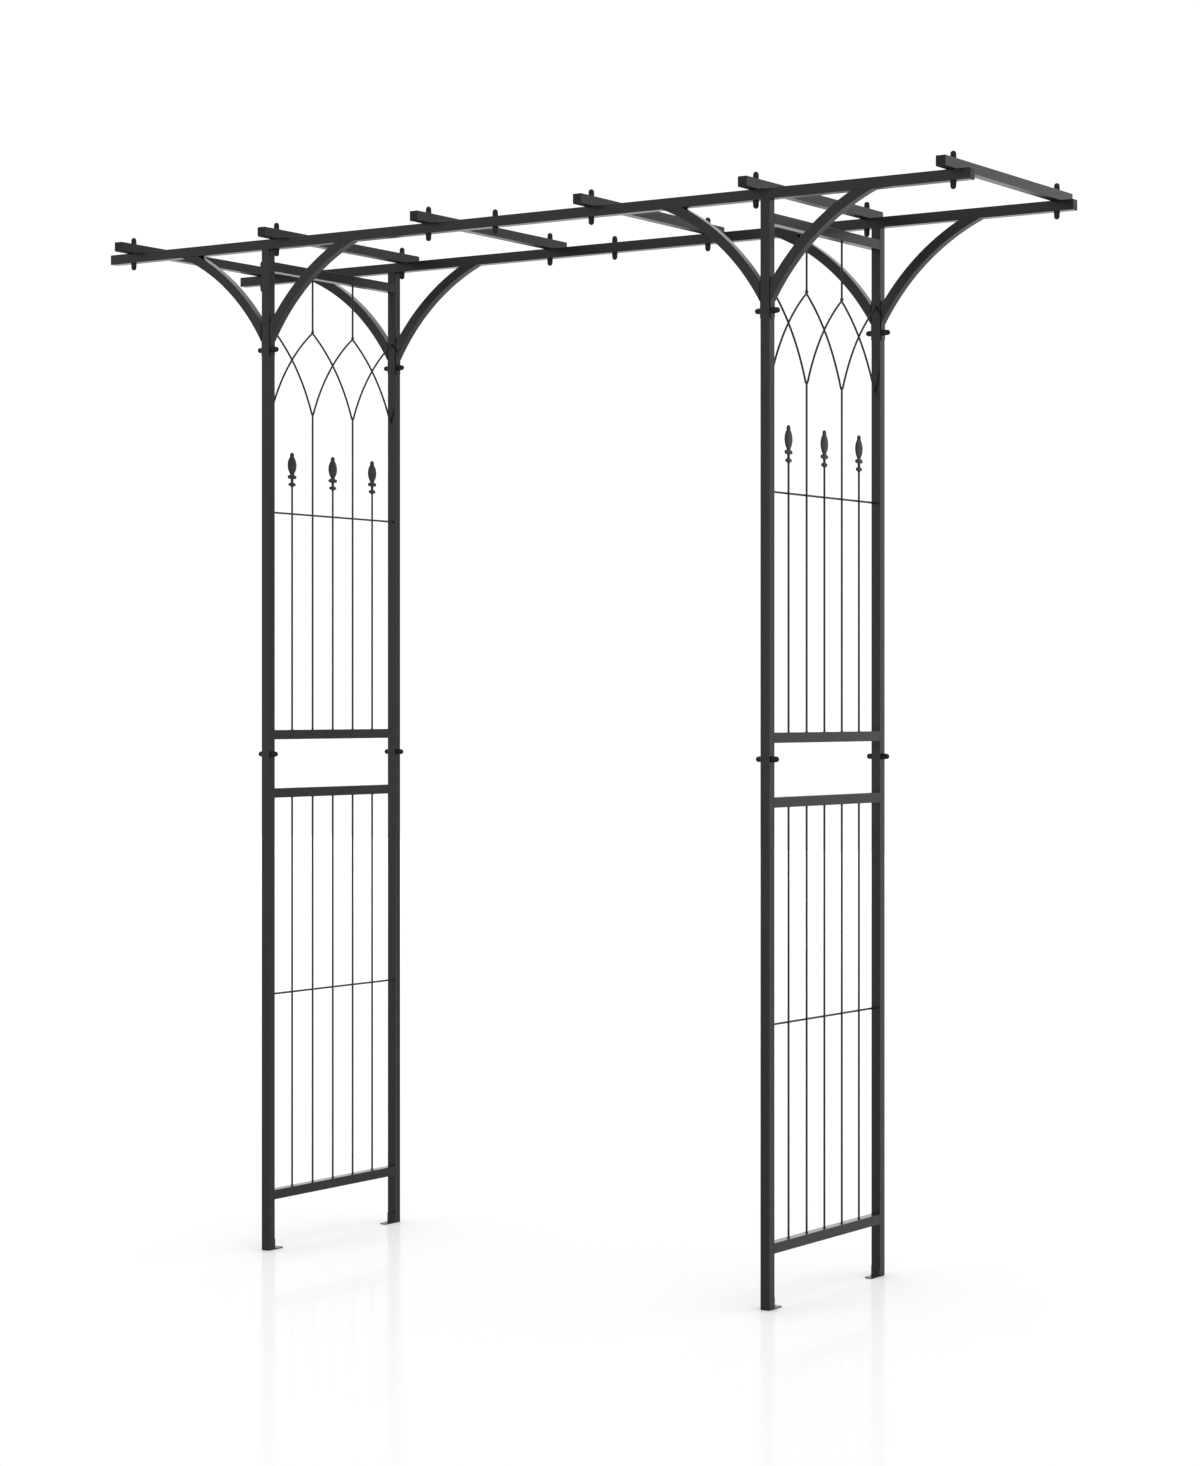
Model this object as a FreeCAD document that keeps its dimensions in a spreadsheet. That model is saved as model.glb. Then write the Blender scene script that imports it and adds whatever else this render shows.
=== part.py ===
import FreeCAD, Part

import math
import os
import re

import Sketcher
from FreeCAD import Placement, Rotation, Vector

# Trellis arch for climbing plants, millimetres.
# X runs along the arch, Y through it, Z up. The origin is on the ground under the middle of the arch.
# Two lattice side panels carry two long rails, and six purlins lie across the rails as the roof.

doc = FreeCAD.newDocument("trellis_arch")
sizes = doc.addObject("Spreadsheet::Sheet", "sizes")

# Driving dimensions. Heights in the upper half hang from the underside of the long rails,
# and heights in the lower half stand on the ground.
DIMENSIONS = [
    ("arch_length", 2000.0, "long rails, end to end with their plugs"),
    ("rail_underside", 2020.0, "height of the long rails above the ground"),
    ("post_spacing_x", 1169.0, "between post centres along the arch"),
    ("post_spacing_y", 420.0, "between post centres, front to back"),
    ("purlin_overhang", 49.0, "purlins beyond the middle of each long rail, with their plugs"),
    ("post_seam", 974.0, "height where the upper posts meet the lower posts"),
    ("post_side", 19.0, "outside of the square post tube"),
    ("rail_side", 20.0, "outside of the long rail tube"),
    ("purlin_side", 19.0, "outside of the purlin tube"),
    ("brace_side", 19.0, "outside of the curved brace tube"),
    ("panel_side", 19.0, "outside of the panel rail tube"),
    ("tube_wall", 0.8, "wall of every square tube"),
    ("tube_corner", 0.6, "outside corner radius of every straight square tube"),
    ("tube_fit", 0.15, "play on each side of a sleeve or plug in its tube"),
    ("rail_seam_x", 0.0, "where the two halves of a long rail meet"),
    ("splice_bolt_offset", 22.5, "rail splice bolt to the rail seam"),
    ("sleeve_length", 120.0, "inner sleeves of posts and rails"),
    ("post_bolt_rise", 27.5, "post bolt above the post seam"),
    ("purlin_1_from_end", 55.5, "first purlin from the left end"),
    ("purlin_2_inside_post", 21.5, "second purlin inside the left posts"),
    ("purlin_3_from_middle", 182.0, "third purlin left of the middle"),
    ("purlin_4_from_middle", 199.5, "fourth purlin right of the middle"),
    ("purlin_5_inside_post", 24.5, "fifth purlin inside the right posts"),
    ("purlin_6_from_end", 37.5, "sixth purlin from the right end"),
    ("bottom_rail_height", 110.5, "bottom panel rail, centre"),
    ("lower_mid_drop", 51.5, "lower middle panel rail under the post seam"),
    ("upper_mid_rise", 66.5, "upper middle panel rail over the post seam"),
    ("top_rail_drop", 33.5, "top panel rail under the long rails, centre"),
    ("brace_radius", 443.0, "bend radius at the middle of the brace tube"),
    ("brace_reach", 198.6, "post centre to the middle of the brace at the long rail"),
    ("brace_drop", 166.7, "middle of the brace at its plate under the long rail"),
    ("plate_rise", 25.7, "top of a brace plate above the middle of the brace"),
    ("plate_length", 75.0, "height of a brace plate"),
    ("plate_width", 15.0, "width of a brace plate"),
    ("plate_thickness", 2.0, "thickness of a brace plate"),
    ("plate_corner", 3.0, "corner radius of a brace plate"),
    ("plate_bolt_margin", 14.0, "brace bolt above the lower end of its plates"),
    ("wire_dia", 4.0, "lattice wire"),
    ("wire_gaps", 6.0, "equal gaps between the posts of a panel"),
    ("lower_cross_rise", 406.0, "lower cross wire above the bottom panel rail"),
    ("upper_cross_drop", 55.0, "upper cross wire under the feet of the finials"),
    ("arc_apex_drop", 153.0, "points of the lattice arcs under the long rails"),
    ("arc_cross_drop", 212.5, "crossings of the lattice arcs under the long rails"),
    ("arc_foot_drop", 321.0, "feet of the lattice arcs under the long rails"),
    ("finial_drop", 475.0, "feet of the finials under the long rails"),
    ("finial_thickness", 4.0, "flat cast finial"),
    ("finial_bulb_width", 28.0, "widest point of the leaf"),
    ("finial_bulb_radius", 22.0, "side curve of the leaf"),
    ("finial_bulb_height", 44.5, "middle of the leaf above the finial foot"),
    ("finial_head_radius", 6.2, "round head"),
    ("finial_head_height", 64.3, "centre of the head above the finial foot"),
    ("finial_bar_width", 28.0, "upper cross bar"),
    ("finial_bar_radius", 3.7, "half the height of the upper cross bar"),
    ("finial_bar_height", 20.5, "upper cross bar above the finial foot"),
    ("finial_collar_width", 22.5, "lower cross bar"),
    ("finial_collar_radius", 3.4, "half the height of the lower cross bar"),
    ("finial_collar_height", 5.4, "lower cross bar above the finial foot"),
    ("finial_stem_width", 7.0, "stem between the cross bars"),
    ("finial_neck_width", 12.0, "neck between the upper bar and the leaf"),
    ("bolt_dia", 5.0, "shank of every bolt"),
    ("bolt_play", 0.5, "holes wider than their bolts by"),
    ("bolt_tail", 3.0, "bolt end beyond its nut"),
    ("hex_flats", 8.0, "across flats of bolt heads and nuts"),
    ("head_height", 3.5, "bolt head"),
    ("nut_height", 4.0, "nut"),
    ("cap_play", 0.18, "push-on bolt cap clear of the corners of a head or nut"),
    ("cap_bore_play", 0.3, "cap clear of the bolt end, all round"),
    ("cap_room", 1.0, "cap clear of the end face of a nut"),
    ("cap_wall", 1.2, "wall of a cap at its mouth"),
    ("cap_tip_radius", 5.3, "round tip of a bolt cap"),
    ("cap_length", 14.5, "bolt cap, mouth to tip"),
    ("plug_plate", 1.5, "end plate of a tube plug"),
    ("plug_boss", 8.0, "part of a plug inside its tube"),
    ("foot_width", 18.0, "width of a foot bracket"),
    ("foot_leg", 25.0, "height of its leg on the post"),
    ("foot_flange", 30.0, "reach of its flange over the ground"),
    ("foot_thickness", 2.0, "sheet of a foot bracket"),
    ("foot_corner", 5.0, "corner radius of a foot bracket"),
    ("foot_hole_dia", 6.5, "peg hole in the flange"),
    ("foot_hole_reach", 17.0, "peg hole from the face of the post"),
]

# Sizes that follow from those. The bend centre of a brace lies at brace_radius from both of its ends.
DERIVED = [
    ("purlin_length", "post_spacing_y + 2 * purlin_overhang", "purlins, end to end with their plugs"),
    ("plate_face", "post_side / 2 + plate_thickness", "post centre to the outside of a brace plate"),
    ("brace_run", "brace_reach - plate_face", "brace ends apart along the arch"),
    ("brace_chord", "sqrt(brace_run ^ 2 + brace_drop ^ 2)", "brace ends apart in a straight line"),
    ("brace_bow", "sqrt(brace_radius ^ 2 / brace_chord ^ 2 - 1 / 4)", "chord to bend centre, in chords"),
    ("brace_centre_out", "plate_face + brace_run / 2 + brace_bow * brace_drop", "out from the post centre"),
    ("brace_centre_drop", "brace_drop / 2 + brace_bow * brace_run", "centre under the long rails"),
    ("plate_drop", "brace_drop - plate_rise", "top of the brace plates under the long rails"),
    ("bolt_hole_dia", "bolt_dia + bolt_play", "holes for the bolts"),
    ("cap_socket_radius", "hex_flats / sqrt(3) + cap_play", "inside of a cap round the head or nut"),
    ("cap_radius", "cap_socket_radius + cap_wall", "bolt cap at its mouth"),
    ("cap_socket_depth", "nut_height + cap_room", "depth of the socket of a cap"),
    ("cap_bore_radius", "bolt_dia / 2 + cap_bore_play", "inside of a cap round the bolt end"),
    ("cap_bore_depth", "nut_height + bolt_tail + 2 * cap_room", "depth of that bore"),
]
rows = [(alias, str(value), note) for alias, value, note in DIMENSIONS]
rows += [(alias, f"={rule}", note) for alias, rule, note in DERIVED]
for row, (alias, content, note) in enumerate(rows, start=1):
    sizes.set(f"A{row}", note)
    sizes.set(f"B{row}", content)
    sizes.setAlias(f"B{row}", alias)
doc.recompute()
aliases = {alias for alias, content, note in rows}

# Places that several pieces share, written once as formulas of the driving dimensions.
post_x = "post_spacing_x / 2"
post_y = "post_spacing_y / 2"
rail_top = "(rail_underside + rail_side)"
purlin_top = "(rail_underside + rail_side + purlin_side)"
panel_span = "(post_spacing_y - post_side)"
wire_pitch = "(post_spacing_y - post_side) / wire_gaps"
purlin_x = [
    "-arch_length / 2 + purlin_1_from_end",
    "-post_spacing_x / 2 + purlin_2_inside_post",
    "-purlin_3_from_middle",
    "purlin_4_from_middle",
    "post_spacing_x / 2 - purlin_5_inside_post",
    "arch_length / 2 - purlin_6_from_end",
]
splice_x = "rail_seam_x - splice_bolt_offset"
post_bolt_z = "post_seam + post_bolt_rise"
brace_bolt_z = "rail_underside - plate_drop - plate_length + plate_bolt_margin"
finial_z = "(rail_underside - finial_drop)"
arc_foot_z = "(rail_underside - arc_foot_drop)"
arc_apex_z = "(rail_underside - arc_apex_drop)"
panel_rail_z = {
    "bottom": "bottom_rail_height",
    "lower_mid": "post_seam - lower_mid_drop",
    "upper_mid": "post_seam + upper_mid_rise",
    "top": "rail_underside - top_rail_drop",
}
sides = {"left": "-", "right": "+"}
faces = {"front": "-", "back": "+"}

# Ways a fastener can point. Each is drawn along +Z.
up = Rotation()
down = Rotation(Vector(1, 0, 0), 180)
to_right = Rotation(Vector(0, 1, 0), 90)
to_left = Rotation(Vector(0, 1, 0), -90)

# Turn of a brace before both of its ends are trimmed off, in degrees.
bend_sweep = 80

nodes = []


def formula(text):
    # Puts the sheet's name before each of its aliases.
    return re.sub(r"[a-z]\w+", lambda word: f"sizes.{word[0]}" if word[0] in aliases else word[0], text)


def bind(item, **rules):
    for name, text in rules.items():
        item.setExpression(name, formula(text))


def place(item, x="0", y="0", z="0", turn=up):
    item.Placement = Placement(Vector(), turn)
    for axis, text in zip("xyz", (x, y, z)):
        item.setExpression(f".Placement.Base.{axis}", formula(text))


def keep(item, label):
    item.Label = label
    nodes.append(item)
    return item


def plane_of(body, role):
    return next(item for item in body.Origin.OriginFeatures if item.Role == role)


def add_sketch(body, name, role):
    sketch = body.newObject("Sketcher::SketchObject", name)
    sketch.AttachmentSupport = [(plane_of(body, role), "")]
    sketch.MapMode = "FlatFace"
    return sketch


def dimension(sketch, kind, places, text):
    # Adds a constraint whose value follows the sheet.
    index = sketch.addConstraint(Sketcher.Constraint(kind, *places, 1.0))
    sketch.setExpression(f"Constraints[{index}]", formula(text))


def add_rectangle(sketch, low, high):
    # A rectangle between two corners, each given as a pair of formulas from the sketch's origin.
    first = sketch.GeometryCount
    value = [[worth(text) for text in corner] for corner in (low, high)]
    corners = [Vector(value[i][0], value[j][1], 0) for i, j in ((0, 0), (1, 0), (1, 1), (0, 1))]
    for start, end in zip(corners, corners[1:] + corners[:1]):
        sketch.addGeometry(Part.LineSegment(start, end), False)
    for side in range(4):
        joined = (first + side, 2, first + (side + 1) % 4, 1)
        sketch.addConstraint(Sketcher.Constraint("Coincident", *joined))
        sketch.addConstraint(Sketcher.Constraint("Vertical" if side % 2 else "Horizontal", first + side))
    for line, corner in ((first, low), (first + 2, high)):
        signed_dimension(sketch, "DistanceX", line, 1, corner[0])
        signed_dimension(sketch, "DistanceY", line, 1, corner[1])


def add_hole(sketch, across, along, diameter):
    circle = sketch.addGeometry(Part.Circle(Vector(worth(across), worth(along), 0), Vector(0, 0, 1),
                                            worth(diameter) / 2), False)
    signed_dimension(sketch, "DistanceX", circle, 3, across)
    signed_dimension(sketch, "DistanceY", circle, 3, along)
    dimension(sketch, "Diameter", (circle,), diameter)


def signed_dimension(sketch, kind, item, point, text):
    # Holds a point at a formula's distance from the origin along one axis of the sketch.
    value = worth(text)
    if value == 0:
        axis = -2 if kind == "DistanceX" else -1
        sketch.addConstraint(Sketcher.Constraint("PointOnObject", item, point, axis))
    elif value > 0:
        dimension(sketch, kind, (-1, 1, item, point), text)
    else:
        dimension(sketch, kind, (item, point, -1, 1), f"-({text})")


def worth(text):
    # The value of a formula now, in millimetres.
    value = sizes.evalExpression(text)
    return float(getattr(value, "Value", value))


def add_pad(body, sketch, length):
    pad = body.newObject("PartDesign::Pad", f"{sketch.Name}_pad")
    pad.Profile = sketch
    pad.Midplane = True
    bind(pad, Length=length)
    return pad


def add_cut(body, sketch):
    # Cuts a sketch right through the body, both ways, and makes sure that it removed something.
    doc.recompute()
    before = body.Shape.Volume
    cut = body.newObject("PartDesign::Pocket", f"{sketch.Name}_cut")
    cut.Profile = sketch
    cut.Type = "ThroughAll"
    cut.Midplane = True
    doc.recompute()
    if body.Shape.Volume >= before:
        raise RuntimeError(f"{cut.Name} removed nothing")
    return cut


def add_rounding(body, base, radius, chosen):
    doc.recompute()
    names = [f"Edge{n}" for n, edge in enumerate(base.Shape.Edges, start=1) if chosen(edge)]
    rounding = body.newObject("PartDesign::Fillet", f"{base.Name}_round")
    rounding.Base = (base, names)
    bind(rounding, Radius=radius)
    return rounding


def centred(width, height):
    # Corners of a rectangle centred on the sketch's origin.
    return (f"-({width}) / 2", f"-({height}) / 2"), (f"({width}) / 2", f"({height}) / 2")


section_plane = {"X": "YZ_Plane", "Y": "XZ_Plane", "Z": "XY_Plane"}


def make_tube(name, axis, side, length, holes=(), hole_plane="XY_Plane", corner="tube_corner"):
    # A square tube along one axis, centred on its own origin, with round corners and bolt holes.
    body = doc.addObject("PartDesign::Body", name)
    section = add_sketch(body, f"{name}_section", section_plane[axis])
    add_rectangle(section, *centred(side, side))
    add_rectangle(section, *centred(f"{side} - 2 * tube_wall", f"{side} - 2 * tube_wall"))
    pad = add_pad(body, section, length)
    reach = (worth(side) - worth("tube_wall")) / math.sqrt(2)
    along = worth(length)

    def is_outer_corner(edge):
        centre = edge.CenterOfMass
        return math.isclose(edge.Length, along, abs_tol=0.01) and centre.Length > reach

    add_rounding(body, pad, corner, is_outer_corner)
    if holes:
        drilling = add_sketch(body, f"{name}_holes", hole_plane)
        for across, along_tube in holes:
            add_hole(drilling, across, along_tube, "bolt_hole_dia")
        add_cut(body, drilling)
    return body


def make_group(label, piece, places):
    # Copies of one piece as separate solids in one node.
    links = []
    for number, (x, y, z, turn) in enumerate(places, start=1):
        link = doc.addObject("App::Link", f"{label}_{number}")
        link.LinkedObject = piece
        place(link, x, y, z, turn)
        links.append(link)
    return keep_together(label, links)


def keep_together(label, items):
    group = doc.addObject("Part::Compound", label)
    group.Links = items
    return keep(group, label)


def add_box(name, width, depth, height, x, y, z):
    # A box centred in X and Y, standing on z.
    box = doc.addObject("Part::Box", name)
    bind(box, Length=width, Width=depth, Height=height)
    place(box, f"{x} - ({width}) / 2", f"{y} - ({depth}) / 2", z)
    return box


def add_rod(name, radius, length, x, y, z, turn=up):
    rod = doc.addObject("Part::Cylinder", name)
    bind(rod, Radius=radius, Height=length)
    place(rod, x, y, z, turn)
    return rod


def add_fuse(name, items):
    fuse = doc.addObject("Part::MultiFuse", name)
    fuse.Shapes = items
    fuse.Refine = True
    return fuse


def add_difference(name, base, tool):
    cut = doc.addObject("Part::Cut", name)
    cut.Base = base
    cut.Tool = tool
    return cut


# Frame tubes.

def build_posts():
    # Each post is a lower and an upper tube that meet over an inner sleeve.
    for face, sy in faces.items():
        for side, sx in sides.items():
            lower = make_tube(f"post_lower_{face}_{side}", "Z", "post_side", "post_seam")
            place(lower, f"{sx}{post_x}", f"{sy}{post_y}", "post_seam / 2")
            keep(lower, f"post_lower_{face}_{side}")
            length = "(rail_underside - post_seam)"
            middle = "(rail_underside + post_seam) / 2"
            holes = [("0", f"{height} - {middle}") for height in (post_bolt_z, brace_bolt_z)]
            upper = make_tube(f"post_upper_{face}_{side}", "Z", "post_side", length, holes, "YZ_Plane")
            place(upper, f"{sx}{post_x}", f"{sy}{post_y}", middle)
            keep(upper, f"post_upper_{face}_{side}")


def build_long_rails():
    # Each long rail is two tubes that meet at the seam over an inner sleeve.
    ends = {
        "left": ("-arch_length / 2 + plug_plate", "rail_seam_x", purlin_x[:3] + [splice_x]),
        "right": ("rail_seam_x", "arch_length / 2 - plug_plate", purlin_x[3:]),
    }
    for face, sy in faces.items():
        for side, (start, end, bolts) in ends.items():
            middle = f"(({start}) + ({end})) / 2"
            holes = [(f"{bolt} - {middle}", "0") for bolt in bolts]
            rail = make_tube(f"rail_{face}_{side}", "X", "rail_side", f"({end}) - ({start})", holes)
            place(rail, middle, f"{sy}{post_y}", "rail_underside + rail_side / 2")
            keep(rail, f"rail_{face}_{side}")


def build_purlins():
    for number, x in enumerate(purlin_x, start=1):
        holes = [("0", f"-{post_y}"), ("0", post_y)]
        length = "(purlin_length - 2 * plug_plate)"
        purlin = make_tube(f"purlin_{number}", "Y", "purlin_side", length, holes)
        place(purlin, x, "0", f"{rail_top} + purlin_side / 2")
        keep(purlin, f"purlin_{number}")


def build_panel_rails():
    for side, sx in sides.items():
        for name, height in panel_rail_z.items():
            rail = make_tube(f"panel_rail_{name}_{side}", "Y", "panel_side", panel_span)
            place(rail, f"{sx}{post_x}", "0", height)
            keep(rail, f"panel_rail_{name}_{side}")


def make_brace(name):
    # A bend of square tube about its bend centre, with sharp corners, trimmed flat against the plate on
    # the post and against the underside of the long rail. The post lies towards -X.
    body = doc.addObject("PartDesign::Body", name)
    section = add_sketch(body, f"{name}_section", "YZ_Plane")
    inside = "(brace_side - 2 * tube_wall)"
    for side in ("brace_side", inside):
        low = (f"-{side} / 2", f"brace_radius - {side} / 2")
        high = (f"{side} / 2", f"brace_radius + {side} / 2")
        add_rectangle(section, low, high)
    bend = body.newObject("PartDesign::Revolution", f"{name}_bend")
    bend.Profile = section
    bend.ReferenceAxis = (plane_of(body, "Y_Axis"), [""])
    bend.Angle = bend_sweep
    bend.Reversed = True
    trim = add_sketch(body, f"{name}_trim", "XZ_Plane")
    far = "2 * brace_radius"
    face_x = "plate_face - brace_centre_out"
    add_rectangle(trim, (f"-{far}", f"-{far}"), (face_x, far))
    over = add_sketch(body, f"{name}_top", "XZ_Plane")
    add_rectangle(over, (f"-{far}", "brace_centre_drop"), (far, far))
    add_cut(body, trim)
    add_cut(body, over)
    return body


def build_braces():
    # Two braces on each post, one out to the end of the arch and one in over the passage.
    for face, sy in faces.items():
        for side, sx in sides.items():
            for reach in ("outer", "inner"):
                name = f"brace_{face}_{side}_{reach}"
                brace = make_brace(name)
                to_plus = (side == "right") == (reach == "outer")
                turn = up if to_plus else Rotation(Vector(0, 0, 1), 180)
                shift = "+ brace_centre_out" if to_plus else "- brace_centre_out"
                height = "rail_underside - brace_centre_drop"
                place(brace, f"{sx}{post_x} {shift}", f"{sy}{post_y}", height, turn)
                keep(brace, name)


def build_brace_plates():
    # The flat plates on the brace ends, one on each X face of each post.
    body = doc.addObject("PartDesign::Body", "brace_plate")
    outline = add_sketch(body, "brace_plate_outline", "YZ_Plane")
    low = ("-plate_width / 2", "-plate_bolt_margin")
    high = ("plate_width / 2", "plate_length - plate_bolt_margin")
    add_rectangle(outline, low, high)
    add_hole(outline, "0", "0", "bolt_hole_dia")
    pad = add_pad(body, outline, "plate_thickness")
    add_rounding(body, pad, "plate_corner", is_thickness_edge("plate_thickness"))
    places = []
    for sy in faces.values():
        for sx in sides.values():
            for out in "-+":
                x = f"{sx}{post_x} {out} (post_side + plate_thickness) / 2"
                places.append((x, f"{sy}{post_y}", brace_bolt_z, up))
    make_group("brace_plates", body, places)


def is_thickness_edge(thickness):
    # Picks the short straight edges at the corners of a flat plate.
    length = worth(thickness)

    def test(edge):
        return isinstance(edge.Curve, Part.Line) and math.isclose(edge.Length, length, abs_tol=0.001)

    return test


def build_sleeves():
    # Short tubes inside the seams of the posts and of the long rails, each held by one bolt.
    inside = "- 2 * tube_wall - 2 * tube_fit)"
    post_sleeve = make_tube("post_sleeve", "Z", f"(post_side {inside}", "sleeve_length",
                            [("0", "post_bolt_rise")], "YZ_Plane", "tube_corner / 2")
    places = [(f"{sx}{post_x}", f"{sy}{post_y}", "post_seam", up) for sx in "-+" for sy in "-+"]
    make_group("post_sleeves", post_sleeve, places)
    rail_sleeve = make_tube("rail_sleeve", "X", f"(rail_side {inside}", "sleeve_length",
                            [("-splice_bolt_offset", "0")], corner="tube_corner / 2")
    places = [("rail_seam_x", f"{sy}{post_y}", "rail_underside + rail_side / 2", up) for sy in "-+"]
    make_group("rail_sleeves", rail_sleeve, places)


def make_plug(name, side):
    # A plastic plug that closes a tube end. Its plate lies in z from 0 up and its boss hangs below.
    plate = add_box(f"{name}_plate", side, side, "plug_plate", "0", "0", "0")
    inside = f"({side} - 2 * tube_wall - 2 * tube_fit)"
    boss = add_box(f"{name}_boss", inside, inside, "plug_boss", "0", "0", "-plug_boss")
    return add_fuse(name, [plate, boss])


def build_plugs():
    rail_plug = make_plug("rail_plug", "rail_side")
    z = "rail_underside + rail_side / 2"
    places = []
    for sy in "-+":
        places.append(("arch_length / 2 - plug_plate", f"{sy}{post_y}", z, to_right))
        places.append(("-arch_length / 2 + plug_plate", f"{sy}{post_y}", z, to_left))
    make_group("rail_end_plugs", rail_plug, places)
    purlin_plug = make_plug("purlin_plug", "purlin_side")
    to_back = Rotation(Vector(1, 0, 0), -90)
    to_front = Rotation(Vector(1, 0, 0), 90)
    z = f"{rail_top} + purlin_side / 2"
    places = []
    for x in purlin_x:
        places.append((x, "purlin_length / 2 - plug_plate", z, to_back))
        places.append((x, "-purlin_length / 2 + plug_plate", z, to_front))
    make_group("purlin_end_plugs", purlin_plug, places)


def build_feet():
    # Angle brackets on the inner faces of the posts, with a peg hole in the flange.
    # The bracket is drawn with the post's face at y = 0 and its flange towards +Y.
    body = doc.addObject("PartDesign::Body", "foot_bracket")
    profile = add_sketch(body, "foot_flange_outline", "XY_Plane")
    add_rectangle(profile, ("-foot_width / 2", "0"), ("foot_width / 2", "foot_flange"))
    add_hole(profile, "0", "foot_hole_reach", "foot_hole_dia")
    flange = body.newObject("PartDesign::Pad", "foot_flange_pad")
    flange.Profile = profile
    bind(flange, Length="foot_thickness")
    leg_outline = add_sketch(body, "foot_leg_outline", "XZ_Plane")
    add_rectangle(leg_outline, ("-foot_width / 2", "0"), ("foot_width / 2", "foot_leg"))
    leg = body.newObject("PartDesign::Pad", "foot_leg_pad")
    leg.Profile = leg_outline
    leg.Reversed = True
    bind(leg, Length="foot_thickness")
    tip = worth("foot_flange - foot_corner")
    top = worth("foot_leg - foot_corner")
    is_short_edge = is_thickness_edge("foot_thickness")

    def is_tab_corner(edge):
        centre = edge.CenterOfMass
        return is_short_edge(edge) and (centre.y > tip or centre.z > top)

    add_rounding(body, leg, "foot_corner", is_tab_corner)
    inner_face = "(post_spacing_y - post_side) / 2"
    half_turn = Rotation(Vector(0, 0, 1), 180)
    places = []
    for sx in "-+":
        places.append((f"{sx}{post_x}", f"-{inner_face}", "0", up))
        places.append((f"{sx}{post_x}", inner_face, "0", half_turn))
    make_group("foot_brackets", body, places)


# Lattice.

gap_count = round(worth("wire_gaps"))


def wire_y(number):
    return f"({number} - wire_gaps / 2) * {wire_pitch}"


def build_lattice():
    # Upright wires in each panel, and cross wires against them on the passage side. Every second
    # upright stops at the feet of the arcs and goes on above their points as a short hanger.
    radius = "wire_dia / 2"
    along_y = Rotation(Vector(1, 0, 0), -90)
    lower_start = f"({panel_rail_z['bottom']} + panel_side / 2)"
    lower_end = f"({panel_rail_z['lower_mid']} - panel_side / 2)"
    upper_start = f"({panel_rail_z['upper_mid']} + panel_side / 2)"
    upper_end = f"({panel_rail_z['top']} - panel_side / 2)"
    cross_heights = {
        "lower": "bottom_rail_height + lower_cross_rise",
        "upper": f"{finial_z} - upper_cross_drop",
    }
    for side, sx in sides.items():
        x = f"{sx}{post_x}"
        lower = []
        upper = []
        for number in range(1, gap_count):
            y = wire_y(number)
            tag = f"{side}_{number}"
            length = f"{lower_end} - {lower_start}"
            lower.append(add_rod(f"lower_wire_{tag}", radius, length, x, y, lower_start))
            is_tall = number % 2 == 0
            top = f"({arc_foot_z} - wire_dia / 4)" if is_tall else finial_z
            length = f"{top} - {upper_start}"
            upper.append(add_rod(f"upper_wire_{tag}", radius, length, x, y, upper_start))
            if is_tall:
                start = f"({arc_apex_z} + wire_dia / 2)"
                upper.append(add_rod(f"hanger_wire_{tag}", radius, f"{upper_end} - {start}", x, y, start))
        keep_together(f"lower_wires_{side}", lower)
        keep_together(f"upper_wires_{side}", upper)
        inward = "+" if side == "left" else "-"
        for level, height in cross_heights.items():
            start = f"-{panel_span} / 2"
            beside = f"{x} {inward} wire_dia"
            wire = add_rod(f"cross_{level}_{side}", radius, panel_span, beside, start, height, along_y)
            keep(wire, f"cross_wire_{level}_{side}")


def build_arcs():
    # Pointed arcs that cross each other between the posts: each half arc is a round bar bent to the
    # circle through its foot, its crossing and its point. Rising and falling arcs lie side by side,
    # and their ends at the posts are cut off flush with the posts.
    pitch = worth(wire_pitch)
    radius = worth("wire_dia") / 2
    foot, cross, apex = (worth(f"rail_underside - arc_{name}_drop") for name in ("foot", "cross", "apex"))
    span = worth(panel_span)
    width = worth("post_side")
    for side, sx in sides.items():
        middle = worth(f"{sx}{post_x}")
        between_posts = Part.makeBox(width, span, apex, Vector(middle - width / 2, -span / 2, foot / 2))
        arcs = []
        for start in range(0, gap_count, 2):
            for foot_number, step, offset in ((start, 1, radius), (start + 2, -1, -radius)):
                columns = [foot_number, foot_number + step, foot_number + 2 * step]
                heights = zip(columns, (foot, cross, apex))
                points = [Vector(middle + offset, worth(wire_y(column)), z) for column, z in heights]
                edge = Part.Arc(*points).toShape()
                along = edge.tangentAt(edge.FirstParameter)
                outline = Part.Wire(Part.makeCircle(radius, points[0], along))
                sweep = math.degrees(edge.LastParameter - edge.FirstParameter)
                bar = Part.Face(outline).revolve(edge.Curve.Center, edge.Curve.Axis, sweep)
                arcs += bar.common(between_posts).Solids
        item = doc.addObject("Part::Feature", f"lattice_arcs_{side}")
        item.Shape = Part.makeCompound(arcs)
        keep(item, f"lattice_arcs_{side}")


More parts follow.
